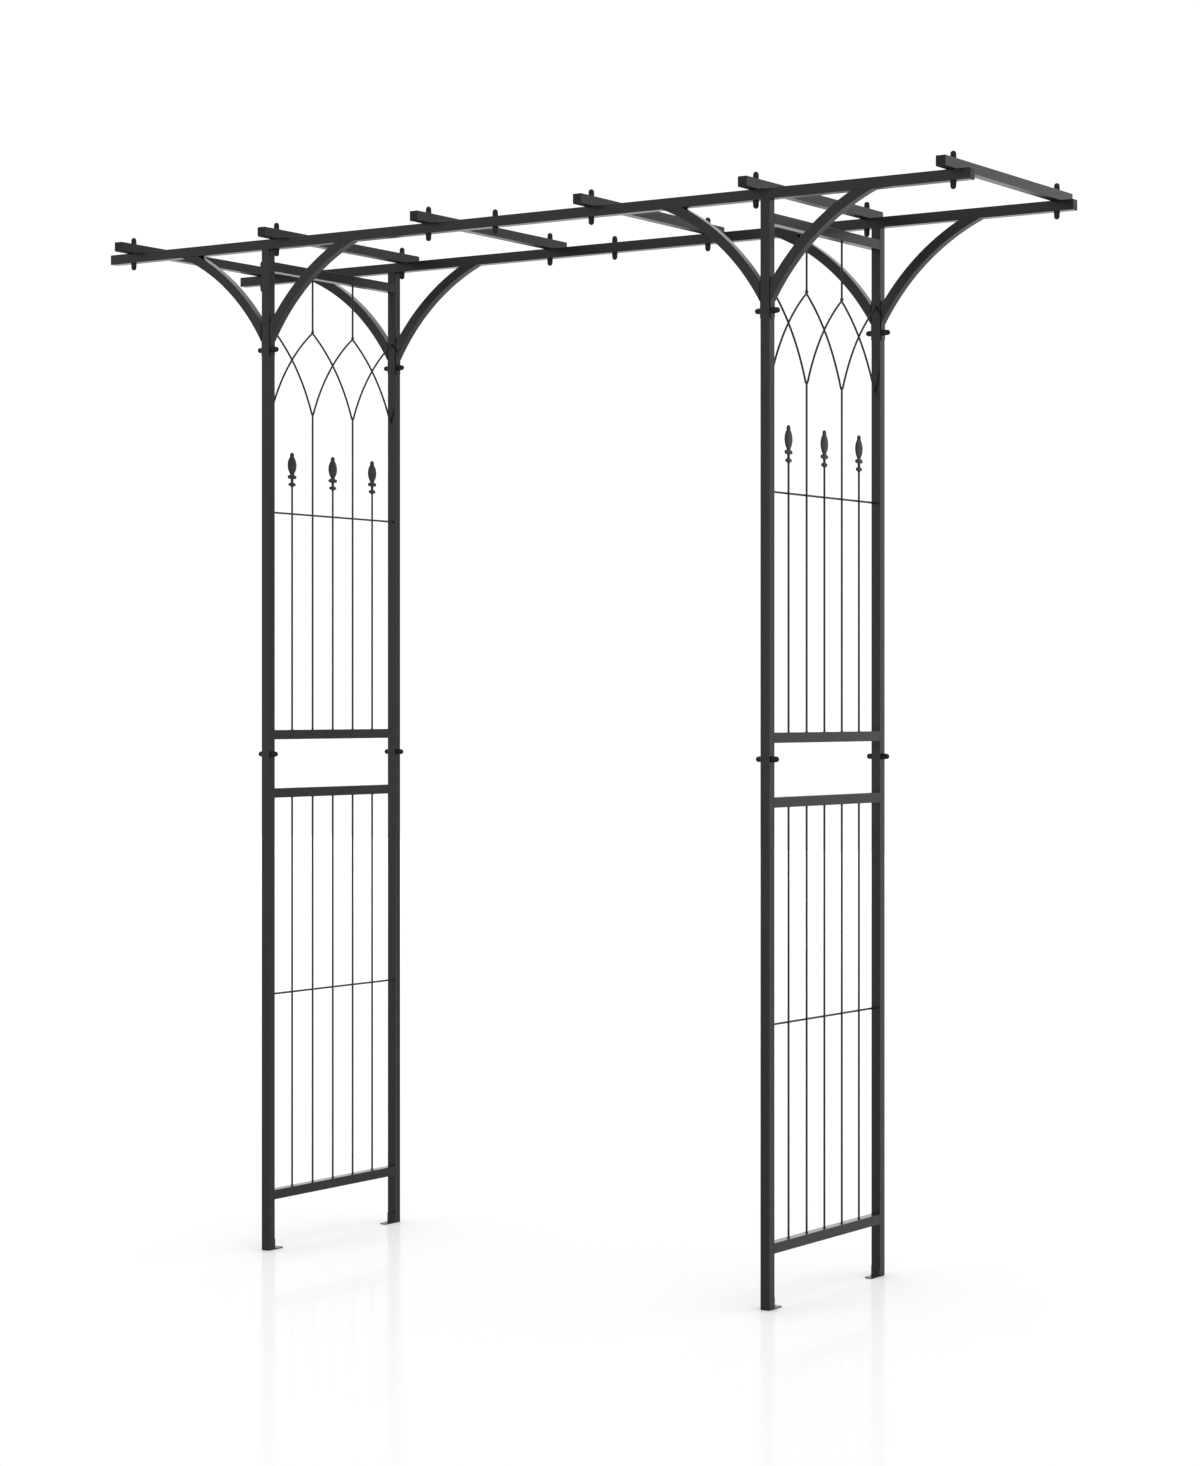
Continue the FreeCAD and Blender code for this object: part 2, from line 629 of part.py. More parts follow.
def make_finial():
    # A flat casting drawn in the YZ plane from its foot up: taper, two cross bars, leaf and round head.
    across = Rotation(Vector(0, 1, 0), 90)
    depth = "finial_thickness"
    half = "-finial_thickness / 2"

    def disc(name, radius, y, z):
        return add_rod(name, radius, depth, half, y, z, across)

    def bar(name):
        radius = f"finial_{name}_radius"
        height = f"finial_{name}_height"
        end = f"(finial_{name}_width / 2 - {radius})"
        foot = f"{height} - {radius}"
        middle = add_box(f"finial_{name}_middle", depth, f"2 * {end}", f"2 * {radius}", "0", "0", foot)
        left = disc(f"finial_{name}_left", radius, f"-{end}", height)
        right = disc(f"finial_{name}_right", radius, end, height)
        return [middle, left, right]

    bulge = "(finial_bulb_radius - finial_bulb_width / 2)"
    leaf = doc.addObject("Part::Common", "finial_leaf")
    leaf.Base = disc("finial_leaf_a", "finial_bulb_radius", bulge, "finial_bulb_height")
    leaf.Tool = disc("finial_leaf_b", "finial_bulb_radius", f"-{bulge}", "finial_bulb_height")
    head = disc("finial_head", "finial_head_radius", "0", "finial_head_height")
    stem = add_box("finial_stem", depth, "finial_stem_width", "finial_bar_height", "0", "0", "0")
    neck = add_box("finial_neck", depth, "finial_neck_width", "finial_bulb_height - finial_bar_height",
                   "0", "0", "finial_bar_height")
    return add_fuse("finial", [stem, neck, leaf, head] + bar("collar") + bar("bar"))


def build_finials():
    finial = make_finial()
    for side, sx in sides.items():
        places = [(f"{sx}{post_x}", wire_y(number), finial_z, up) for number in range(1, gap_count, 2)]
        make_group(f"finials_{side}", finial, places)


# Fasteners.

def make_hex(name, height, z):
    prism = doc.addObject("Part::Prism", name)
    prism.Polygon = 6
    bind(prism, Circumradius="hex_flats / sqrt(3)", Height=height)
    place(prism, z=z)
    return prism


def make_bolt(name, grip):
    # The underside of the head is at z = 0, and the shank hangs below.
    reach = f"({grip} + nut_height + bolt_tail)"
    shank = add_rod(f"{name}_shank", "bolt_dia / 2", reach, "0", "0", f"-{reach}")
    return add_fuse(name, [make_hex(f"{name}_head", "head_height", "0"), shank])


def make_nut():
    bore = add_rod("nut_bore", "bolt_dia / 2", "nut_height", "0", "0", "0")
    return add_difference("nut", make_hex("nut_hex", "nut_height", "0"), bore)


def make_cap():
    # A hollow bullet that pushes on over a bolt head or a nut. Its mouth is at z = 0.
    cone = doc.addObject("Part::Cone", "cap_cone")
    bind(cone, Radius1="cap_radius", Radius2="cap_tip_radius", Height="cap_length - cap_tip_radius")
    tip = doc.addObject("Part::Sphere", "cap_tip")
    bind(tip, Radius="cap_tip_radius")
    place(tip, z="cap_length - cap_tip_radius")
    outside = add_fuse("cap_outside", [cone, tip])
    socket = add_rod("cap_socket", "cap_socket_radius", "cap_socket_depth", "0", "0", "0")
    bore = add_rod("cap_bore", "cap_bore_radius", "cap_bore_depth", "0", "0", "0")
    return add_difference("cap", outside, add_fuse("cap_inside", [socket, bore]))


def bolt_places():
    # For each kind of bolt: what it clamps, and where its head and its nut sit.
    sets = {"purlin": [], "rail_splice": [], "post": [], "brace": []}
    for sy in "-+":
        y = f"{sy}{post_y}"
        for x in purlin_x:
            sets["purlin"].append(((x, y, purlin_top, up), (x, y, "rail_underside", down)))
        sets["rail_splice"].append(((splice_x, y, rail_top, up), (splice_x, y, "rail_underside", down)))
        for sx in "-+":
            for kind, height, half in (("post", post_bolt_z, "post_side / 2"),
                                       ("brace", brace_bolt_z, "plate_face")):
                head = (f"{sx}{post_x} + {half}", y, height, to_right)
                nut = (f"{sx}{post_x} - {half}", y, height, to_left)
                sets[kind].append((head, nut))
    return sets


def build_fasteners():
    grips = {
        "purlin": "(rail_side + purlin_side)",
        "rail_splice": "rail_side",
        "post": "post_side",
        "brace": "(post_side + 2 * plate_thickness)",
    }
    sets = bolt_places()
    for kind, pairs in sets.items():
        make_group(f"{kind}_bolts", make_bolt(f"{kind}_bolt", grips[kind]), [head for head, nut in pairs])
    pairs = [pair for kind in sets for pair in sets[kind]]
    make_group("bolt_nuts", make_nut(), [nut for head, nut in pairs])
    cap = make_cap()
    roof = sets["purlin"] + sets["rail_splice"]
    make_group("roof_bolt_caps", cap, [end for pair in roof for end in pair])
    make_group("post_bolt_caps", cap, [end for pair in sets["post"] + sets["brace"] for end in pair])


def export_nodes():
    doc.recompute()
    failed = [item.Name for item in doc.Objects if {"Invalid", "Error"} & set(item.State)]
    bad = [item.Label for item in nodes if item.Shape.isNull() or not item.Shape.isValid()]
    if failed or bad:
        raise RuntimeError(f"failed {failed}, bad shapes {bad}")
    os.makedirs("parts", exist_ok=True)
    for item in nodes:
        item.Shape.exportStep(os.path.join("parts", f"{item.Label}.step"))
    print(len(nodes), "nodes written")


build_posts()
build_long_rails()
build_purlins()
build_panel_rails()
build_braces()
build_brace_plates()
build_sleeves()
build_plugs()
build_feet()
build_lattice()
build_arcs()
build_finials()
build_fasteners()
export_nodes()
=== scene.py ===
import math

import bpy
import numpy as np
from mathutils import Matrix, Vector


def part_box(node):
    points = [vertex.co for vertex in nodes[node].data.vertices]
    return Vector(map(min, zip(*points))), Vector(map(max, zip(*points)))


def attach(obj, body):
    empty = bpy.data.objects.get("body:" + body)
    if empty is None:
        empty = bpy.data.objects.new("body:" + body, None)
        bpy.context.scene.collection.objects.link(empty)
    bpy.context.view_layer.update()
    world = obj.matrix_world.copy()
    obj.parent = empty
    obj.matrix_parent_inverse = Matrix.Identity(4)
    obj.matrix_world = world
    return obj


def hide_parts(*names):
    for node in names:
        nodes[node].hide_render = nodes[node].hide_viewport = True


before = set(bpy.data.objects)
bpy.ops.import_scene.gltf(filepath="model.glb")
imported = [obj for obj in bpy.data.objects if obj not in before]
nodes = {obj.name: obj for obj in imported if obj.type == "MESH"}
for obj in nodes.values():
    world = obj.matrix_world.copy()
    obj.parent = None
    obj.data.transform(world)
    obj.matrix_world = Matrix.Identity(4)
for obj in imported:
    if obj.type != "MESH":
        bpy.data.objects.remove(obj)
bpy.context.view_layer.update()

# Trellis arch in metres: X along the arch, Y through it, Z up, origin on the ground under its middle.
sides = ("left", "right")
faces = ("front", "back")
print("frame loaded:", len(nodes), "nodes")


# Places, read from the frame.

def corners(node):
    low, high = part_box(node)
    return np.array(low), np.array(high)


def middle(node):
    low, high = corners(node)
    return (low + high) / 2


def halfSize(node):
    low, high = corners(node)
    return (high - low) / 2


postHalf = halfSize("post_upper_front_left")[0]
postAt = {(face, side): middle(f"post_upper_{face}_{side}") for face in faces for side in sides}
railLow, railHigh = corners("rail_front_left")
railUnder, railTop = railLow[2], railHigh[2]
purlinTop = corners("purlin_1")[1][2]
purlinX = [middle(f"purlin_{number}")[0] for number in range(1, 7)]
plateFace = corners("brace_plates")[1][0] - postAt["front", "right"][0]  # post centre to outside of a plate
wireRadius = halfSize("cross_wire_upper_left")[0]
innerSpan = 2 * (postAt["back", "left"][1] - postHalf)
wireGaps = 6
wireY = [(number / wireGaps - 0.5) * innerSpan for number in range(wireGaps + 1)]
finialFoot = corners("finials_left")[0][2]


# Helpers for meshes.

def gridFaces(rows, columns, closeRows=False, closeColumns=True):
    # Quads between neighbouring points of a rows x columns grid, wrapped round where closed.
    row, column = np.meshgrid(np.arange(rows if closeRows else rows - 1),
                              np.arange(columns if closeColumns else columns - 1), indexing="ij")
    below, beside = (row + 1) % rows, (column + 1) % columns
    quads = [row * columns + column, row * columns + beside,
             below * columns + beside, below * columns + column]
    return np.stack(quads, -1).reshape(-1, 4)


def closedRings(rows, columns):
    # Side faces of a stack of rings, with one flat face over its first ring and one over its last.
    ends = np.stack([np.arange(columns)[::-1], np.arange(columns) + (rows - 1) * columns])
    return [gridFaces(rows, columns), ends]


def signedVolume(points, faceLists):
    # Sum of the tetrahedra from the origin to each face's fan of triangles, where one with corners a, b
    # and c measures a . (b x c) / 6.
    total = 0.0
    for block in faceLists:
        for last in range(2, block.shape[1]):
            a, b, c = points[block[:, 0]], points[block[:, last - 1]], points[block[:, last]]
            total += np.einsum("ij,ij->", a, np.cross(b, c)) / 6
    return total


def outward(points, faceLists):
    # Turns every face over if the closed surface encloses a negative volume.
    return faceLists if signedVolume(points, faceLists) > 0 else [block[:, ::-1] for block in faceLists]


def copies(points, faceLists, moves):
    # The same closed surface at several places: each move is a 3 x 3 turn and a shift.
    turns = np.array([turn for turn, shift in moves], float)
    shifts = np.array([shift for turn, shift in moves], float)
    placed = np.einsum("kij,nj->kni", turns, points) + shifts[:, None, :]
    step = len(points) * np.arange(len(moves))[:, None, None]
    return placed.reshape(-1, 3), [(block[None] + step).reshape(-1, block.shape[1]) for block in faceLists]


def joined(parts):
    # Several (points, faceLists) surfaces as one.
    points, lists, start = [], [], 0
    for partPoints, partLists in parts:
        points.append(partPoints)
        lists += [block + start for block in partLists]
        start += len(partPoints)
    return np.concatenate(points), lists


def addPiece(name, points, faceLists, material, slot, *replaced, weighted=True):
    # A smooth-shaded piece on the arch's one body. It stands for the nodes that it replaces.
    mesh = bpy.data.meshes.new(name)
    mesh.from_pydata(points.tolist(), [], [face for block in faceLists for face in block.tolist()])
    mesh.polygons.foreach_set("use_smooth", np.ones(len(mesh.polygons), bool))
    mesh.materials.append(material)
    mesh.update()
    piece = bpy.data.objects.new(name, mesh)
    bpy.context.scene.collection.objects.link(piece)
    if weighted:
        keepFlat(piece)
    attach(piece, "root")
    if replaced:
        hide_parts(*replaced)
    return piece


def keepFlat(piece):
    # Face-weighted normals, so that flats stay flat beside their rounded edges.
    modifier = piece.modifiers.new("weightedNormals", "WEIGHTED_NORMAL")
    modifier.weight = 100
    modifier.keep_sharp = True


# Helpers for shaders.

class Value:
    # One output of a shader tree. Arithmetic on it adds Math nodes.
    def __init__(self, tree, socket=None):
        self.tree = tree
        self.socket = socket

    def node(self, kind, settings=None, inputs=None, output=0):
        made = self.tree.nodes.new("ShaderNode" + kind)
        for name, value in (settings or {}).items():
            setattr(made, name, value)
        for name, value in (inputs or {}).items():
            if isinstance(value, Value):
                self.tree.links.new(value.socket, made.inputs[name])
            else:
                made.inputs[name].default_value = value
        return Value(self.tree, made.outputs[output] if made.outputs else None)

    def math(self, operation, first, second):
        return self.node("Math", {"operation": operation}, {0: first, 1: second})

    def __add__(self, other):
        return self.math("ADD", self, other)

    def __sub__(self, other):
        return self.math("SUBTRACT", self, other)

    def __rsub__(self, other):
        return self.math("SUBTRACT", other, self)

    def __mul__(self, other):
        return self.math("MULTIPLY", self, other)

    __radd__ = __add__
    __rmul__ = __mul__

    def step(self, low, high):
        # 0 below low, 1 above high, and a smooth S between.
        settings = {"interpolation_type": "SMOOTHSTEP"}
        return self.node("MapRange", settings, {"Value": self, "From Min": low, "From Max": high})

    def noise(self, coordinates, scale, detail=2.0, rough=0.5):
        inputs = {"Vector": coordinates, "Scale": scale, "Detail": detail, "Roughness": rough}
        return self.node("TexNoise", None, inputs)

    def blend(self, factor, first, second):
        # Mixes two colours. The colour sockets of a Mix node are its seventh and eighth.
        return self.node("Mix", {"data_type": "RGBA"}, {0: factor, 6: first, 7: second}, 2)


def newMaterial(name):
    material = bpy.data.materials.new(name)
    material.use_nodes = True
    tree = material.node_tree
    tree.nodes.clear()
    start = Value(tree)
    coordinates = start.node("TexCoord", None, None, 3)  # Object coordinates
    return material, start, coordinates


def finishMaterial(material, start, inputs):
    shader = start.node("BsdfPrincipled", None, inputs)
    start.node("OutputMaterial", None, {"Surface": shader})
    return material


# mottle, peel, speck and cloud are noise scales, and slow and fine what they add to the roughness.
coat = {"dark": (0.0035, 0.0035, 0.0037, 1), "light": (0.0070, 0.0070, 0.0073, 1),
        "rough": 0.28, "slow": 0.10, "fine": 0.06, "index": 1.34,
        "mottle": 7.0, "peel": 620.0, "speck": 2400.0, "depth": 0.00012, "strength": 0.08}
plastic = {"dark": (0.006, 0.006, 0.006, 1), "light": (0.010, 0.010, 0.010, 1),
           "rough": 0.45, "slow": 0.10, "fine": 0.06, "index": 1.24,
           "mottle": 60.0, "peel": 1500.0, "speck": 4000.0, "depth": 0.00006, "strength": 0.12}
zinc = {"dark": (0.42, 0.42, 0.40, 1), "light": (0.62, 0.62, 0.60, 1), "rough": 0.32, "fine": 0.12,
        "cloud": 900.0}


def coated(name, look):
    # Powder coat or moulded plastic. Colour: dark to light by a slow mottle. Roughness: base, give or
    # take the mottle and a fine speckle. Height: a ripple, as of baked powder.
    material, start, at = newMaterial(name)
    mottle = start.noise(at, look["mottle"], 3.0)
    peel = start.noise(at, look["peel"], 1.0)
    speck = start.noise(at, look["speck"], 0.0)
    height = start.node("Bump", None, {
        "Strength": look["strength"], "Distance": look["depth"], "Height": peel})
    return finishMaterial(material, start, {
        "Base Color": start.blend(mottle, look["dark"], look["light"]),
        "Roughness": look["rough"] + look["slow"] * (mottle - 0.5) + look["fine"] * (speck - 0.5),
        "Normal": height,
        "IOR": look["index"],
    })


def plated(name, look):
    # Zinc plating. Colour and roughness both follow a fine cloud, as spangled plating does.
    material, start, at = newMaterial(name)
    cloud = start.noise(at, look["cloud"], 4.0)
    return finishMaterial(material, start, {
        "Base Color": start.blend(cloud, look["dark"], look["light"]),
        "Metallic": 1.0,
        "Roughness": look["rough"] + look["fine"] * (cloud - 0.5),
    })


tubeCoat = coated("tubeCoat", coat)
wireCoat = coated("wireCoat", {**coat, "rough": 0.36})
castCoat = coated("castCoat", {**coat, "rough": 0.40, "peel": 420.0, "strength": 0.2})
capPlastic = coated("capPlastic", plastic)
plugPlastic = coated("plugPlastic", {**plastic, "rough": 0.38})
zincPlate = plated("zincPlate", zinc)
print("materials made")


# Camera, light and floor.

cameraAt = {"place": (3.5554, -5.2575, 1.0982), "turn": 33.464, "lens": 78.91, "rise": -0.0183,
            "far": 200}
camera = bpy.data.objects.new("camera", bpy.data.cameras.new("camera"))
camera.location = cameraAt["place"]
camera.rotation_euler = (math.radians(90), 0, math.radians(cameraAt["turn"]))
camera.data.lens = cameraAt["lens"]
camera.data.sensor_width = 36
camera.data.shift_y = cameraAt["rise"]
camera.data.clip_end = cameraAt["far"]
bpy.context.scene.collection.objects.link(camera)
bpy.context.scene.camera = camera

# backLeft is the way from the arch that counts as back left, in X and Y. The pairs named From are where
# each change in the tent's brightness starts and ends, as shares of that way, or of the way up.
studio = {"backLeft": (-0.55, 0.83),
          "side": 1.0, "rise": 0.42, "riseFrom": (0.32, 0.54), "behind": 0.2, "behindFrom": (0.6, 0.9),
          "ahead": 0.25, "aheadFrom": (-0.2, 0.1), "band": 0.6, "bandFrom": (0, 0.01),
          "dim": 0.36, "dimFrom": (0.04, 0.14), "backdrop": 1.05}
lamp = {"energy": 0.4, "spread": 100.0, "lean": (-12, 10)}
ground = {"shade": 0.745, "rough": 0.12, "index": 1.03, "half": 16.0, "drop": 0.0004}


def addWorld():
    # A white tent, brighter towards the back left by two smooth steps on the direction's share of that
    # way, brighter in front near the horizon, and dimmer low down at the back right. The backdrop itself
    # is plain white from every side.
    world = bpy.data.worlds.new("studio")
    world.use_nodes = True
    tree = world.node_tree
    tree.nodes.clear()
    start = Value(tree)
    direction = start.node("TexCoord", None, None, 0)  # the way a ray leaves the scene
    x, y, z = (start.node("SeparateXYZ", None, {"Vector": direction}, number) for number in range(3))
    backLeft = studio["backLeft"][1] * y + studio["backLeft"][0] * x
    ahead = 1 - backLeft.step(*studio["aheadFrom"])
    glow = backLeft.step(*studio["riseFrom"])
    high = z.step(*studio["dimFrom"])
    level = studio["side"] + studio["rise"] * glow + studio["behind"] * backLeft.step(*studio["behindFrom"])
    level = level + ahead * (studio["ahead"] + studio["band"] * (1 - (z * z).step(*studio["bandFrom"])))
    level = level - studio["dim"] * (1 - ahead) * (1 - glow) * (1 - high)
    seen = start.node("LightPath", None, None, 0)  # 1 for what is looked at directly
    tent = start.node("Background", None, {"Color": (1, 1, 1, 1), "Strength": level})
    backdrop = start.node("Background", None, {"Color": (1, 1, 1, 1), "Strength": studio["backdrop"]})
    surface = start.node("MixShader", None, {0: seen, 1: tent, 2: backdrop})
    start.node("OutputWorld", None, {"Surface": surface})
    bpy.context.scene.world = world


def addLamp():
    overhead = bpy.data.objects.new("overhead", bpy.data.lights.new("overhead", "SUN"))
    overhead.data.energy = lamp["energy"]
    overhead.data.angle = math.radians(lamp["spread"])
    overhead.rotation_euler = (math.radians(lamp["lean"][0]), math.radians(lamp["lean"][1]), 0)
    bpy.context.scene.collection.objects.link(overhead)


def addFloor():
    half, drop = ground["half"], -ground["drop"]
    mesh = bpy.data.meshes.new("floor")
    mesh.from_pydata([(-half, -half, drop), (half, -half, drop), (half, half, drop), (-half, half, drop)],
                     [], [(0, 1, 2, 3)])
    material, start, at = newMaterial("floorPaint")
    mesh.materials.append(finishMaterial(material, start, {
        "Base Color": (ground["shade"],) * 3 + (1,), "Roughness": ground["rough"], "IOR": ground["index"]}))
    floor = bpy.data.objects.new("floor", mesh)
    bpy.context.scene.collection.objects.link(floor)


addWorld()
addLamp()
addFloor()
bpy.context.scene.view_settings.view_transform = "Standard"
print("camera and studio set")


# Tubes, wires, plates and fasteners that keep their exact shape.

sheared = {"width": 0.0003, "segments": 2, "angle": 40, "merge": 1e-6}


def soften(item, values):
    # Joins the mesh's split points, rounds its sharp edges and keeps its flats flat.
    merge = item.modifiers.new("merge", "WELD")
    merge.merge_threshold = values["merge"]
    bevel = item.modifiers.new("edges", "BEVEL")
    bevel.width = values["width"]
    bevel.segments = values["segments"]
    bevel.limit_method = "ANGLE"
    bevel.angle_limit = math.radians(values["angle"])
    keepFlat(item)


def dressNodes():
    # The first rule whose word is in a node's name gives its finish. The rest are coated tube.
    rules = (("_caps", capPlastic), ("_plugs", plugPlastic), ("_bolts", zincPlate), ("_nuts", zincPlate),
             ("finials", castCoat), ("wire", wireCoat), ("arcs", wireCoat), ("", tubeCoat))
    for name, item in nodes.items():
        item.data.materials.clear()
        item.data.materials.append(next(material for word, material in rules if word in name))
    soften(nodes["brace_plates"], sheared)


dressNodes()
print("frame nodes dressed")


# Curved braces.

brace = {"side": 0.019, "corner": 0.0011, "radius": 0.443, "reach": 0.1986, "drop": 0.1667,
         "ease": 0.0004, "rings": 48}
rounding = 0.3  # where the middle ring of a rounded edge lies, as a share of the edge


def roundSquare(half, corner, steps=5):
    # Counter-clockwise outline of a square of the given half width, with quarter circles for corners.
    angle = np.linspace(0, math.pi / 2, steps)
    quarter = np.stack([np.cos(angle), np.sin(angle)], -1) * corner + (half - corner)
    turns = [np.array([[c, -s], [s, c]]) for c, s in ((1, 0), (0, 1), (-1, 0), (0, -1))]
    return np.concatenate([quarter @ turn.T for turn in turns])


def bentTube(values, towards, postX, postY):
    # The outline carried round a circle that passes through both ends of the brace. Each point of the
    # outline at u outside the circle runs from the plate, where cos(angle) = out / (radius + u), to the
    # long rail, where sin(angle) = down / (radius + u), so both ends are cut flat. The last ring at each
    # end is drawn in, which rounds the cut.
    radius = values["radius"]
    run = values["reach"] - plateFace
    chord = math.hypot(run, values["drop"])
    bow = math.sqrt(radius ** 2 - chord ** 2 / 4) / chord
    out = run / 2 + bow * values["drop"]
    down = values["drop"] / 2 + bow * run
    ease = values["ease"] / (math.asin(down / radius) - math.acos(out / radius)) / radius
    rings = np.linspace(ease, 1 - ease, values["rings"])
    along = np.concatenate([[0, ease * rounding], rings, [1 - ease * rounding, 1]])
    inset = np.zeros(len(along))
    inset[[0, -1]] = values["ease"]
    inset[[1, -2]] = values["ease"] * rounding
    outline = roundSquare(values["side"] / 2, values["corner"])
    shrink = 1 - inset[:, None] / (values["side"] / 2)
    u, v = outline[None, :, 0] * shrink, outline[None, :, 1] * shrink
    start, end = np.arccos(out / (radius + u)), np.arcsin(down / (radius + u))
    angle = start + along[:, None] * (end - start)
    x = plateFace + out - (radius + u) * np.cos(angle)
    z = railUnder - down + (radius + u) * np.sin(angle)
    points = np.stack([postX + towards * x, postY + v, z], -1).reshape(-1, 3)
    return points, outward(points, closedRings(len(along), len(outline)))


for (face, side), centre in postAt.items():
    outer = 1 if side == "right" else -1
    for reach, towards in (("outer", outer), ("inner", -outer)):
        points, lists = bentTube(brace, towards, centre[0], centre[1])
        name = f"brace_{face}_{side}_{reach}"
        addPiece(f"bent_{name}", points, lists, tubeCoat, "coated_tube", name)
print("braces bent")


# Finials.

# collar and bar: half width, radius, height. leaf: radius, half width, height. head: radius, height.
# Under a half width of thinUnder the casting thins, by thinPower. footEase and footIn round its foot.
finial = {"thick": 0.004, "roundness": 2.7, "rows": 150, "columns": 28,
          "stem": 0.0035, "neck": 0.006,
          "collar": (0.01125, 0.0034, 0.0054), "bar": (0.014, 0.0037, 0.0205),
          "leaf": (0.022, 0.014, 0.0445), "head": (0.0062, 0.0643),
          "tipRings": (2e-4, 5e-5, 1e-5), "thinUnder": 0.0028, "thinPower": 0.6,
          "footEase": 0.0006, "footIn": (0.15, 0.2)}


def finialHalfWidth(z, values):
    # The widest of the stem, the neck, two round-ended bars, a pointed leaf between two circles and a disc.
    def bar(width, radius, height):
        inside = np.clip(radius ** 2 - (z - height) ** 2, 0, None)
        return np.where(inside > 0, width - radius + np.sqrt(inside), 0)

    radius, half, height = values["leaf"]
    leaf = np.sqrt(np.clip(radius ** 2 - (z - height) ** 2, 0, None)) - (radius - half)
    headRadius, headHeight = values["head"]
    head = np.sqrt(np.clip(headRadius ** 2 - (z - headHeight) ** 2, 0, None))
    stem = np.where(z <= values["bar"][2], values["stem"], 0)
    neck = np.where((z > values["bar"][2]) & (z < height), values["neck"], 0)
    return np.max([stem, neck, bar(*values["collar"]), bar(*values["bar"]), leaf, head], 0)


def castFinial(values):
    # Flattened rings stacked up the middle line. Each ring is |x / t|^n + |y / w|^n = 1, with w the half
    # width at that height and t the half thickness, which thins as the ring narrows to a point.
    top = values["head"][0] + values["head"][1]
    heights = np.linspace(0, top, values["rows"])
    z = np.concatenate([[0], heights[1:-1], top - np.array(values["tipRings"])])
    width = finialHalfWidth(z, values)
    smooth = np.array([0.25, 0.5, 0.25])
    width[1:-1] = np.convolve(width, smooth, "valid")
    thick = values["thick"] / 2 * np.clip(width / values["thinUnder"], 0, 1) ** values["thinPower"]
    ease = np.clip(z / values["footEase"], 0, 1) ** 0.5
    widthIn, thickIn = values["footIn"]
    width, thick = width * (1 - widthIn + widthIn * ease), thick * (1 - thickIn + thickIn * ease)
    turn = np.linspace(0, 2 * math.pi, values["columns"], endpoint=False)
    power = 2 / values["roundness"]
    across = np.sign(np.cos(turn)) * np.abs(np.cos(turn)) ** power
    wide = np.sign(np.sin(turn)) * np.abs(np.sin(turn)) ** power
    points = np.stack([thick[:, None] * across, width[:, None] * wide, z[:, None] + 0 * wide], -1)
    points = points.reshape(-1, 3)
    return points, outward(points, closedRings(len(z), values["columns"]))


points, lists = castFinial(finial)
for side in sides:
    postX = postAt["front", side][0]
    moves = [(np.eye(3), (postX, wireY[number], finialFoot)) for number in range(1, wireGaps, 2)]
    placed, placedLists = copies(points, lists, moves)
    addPiece(f"cast_finials_{side}", placed, placedLists, castCoat, "cast_finial",
             f"finials_{side}", weighted=False)
print("finials cast")


# Bolt caps.

# mouth, tip, socket, bore and boreEnd are radii; long, deep, inner, lip and flare are heights from the
# mouth.
cap = {"mouth": 0.006, "tip": 0.0053, "long": 0.0145, "socket": 0.0048, "deep": 0.005,
       "bore": 0.0028, "inner": 0.009, "lip": 0.0009, "step": 0.00025,
       "boreEnd": 0.0004, "flare": 0.0004, "edge": 0.0003, "lipDrop": 0.0002, "lipFoot": 0.0001,
       "taper": (0.3, 0.65), "dome": 86, "domeRings": 9, "columns": 24}


def capProfile(values):
    # Radius and height from the bottom of the bore, out over the mouth and up to the tip: a lip at the
    # mouth, a taper, and a quarter circle that meets the axis.
    mouth, tip, socket, bore = values["mouth"], values["tip"], values["socket"], values["bore"]
    lip, edge, deep, inner = values["lip"], values["edge"], values["deep"], values["inner"]
    body = mouth - values["step"]
    shoulder = values["long"] - tip
    inside = [(values["boreEnd"], inner), (bore, inner), (bore, deep), (socket, deep),
              (socket, values["flare"]), (socket + edge, 0)]
    rim = [(mouth - edge, 0), (mouth, edge), (mouth, lip - values["lipDrop"]),
           (body + values["lipFoot"], lip), (body, lip + edge)]
    taper = [(body + (tip - body) * share, lip + (shoulder - lip) * share) for share in values["taper"]]
    angle = np.linspace(0, math.radians(values["dome"]), values["domeRings"])
    dome = np.stack([tip * np.cos(angle), shoulder + tip * np.sin(angle)], -1)
    return np.concatenate([inside, rim, taper, dome])


def turned(profile, columns):
    # A closed profile of radii and heights turned about Z, its two ends closed with small flat faces.
    turn = np.linspace(0, 2 * math.pi, columns, endpoint=False)
    radius, height = profile[:, :1], profile[:, 1:]
    points = np.stack([radius * np.cos(turn), radius * np.sin(turn), height + 0 * turn], -1).reshape(-1, 3)
    return points, outward(points, closedRings(len(profile), columns))


def facing(direction):
    # A turn that carries +Z to plus or minus X, Y or Z.
    axis, sign = "xyz".index(direction[1]), 1 if direction[0] == "+" else -1
    third = sign * np.eye(3)[axis]
    first = np.eye(3)[(axis + 1) % 3]
    return np.stack([first, np.cross(third, first), third], -1)


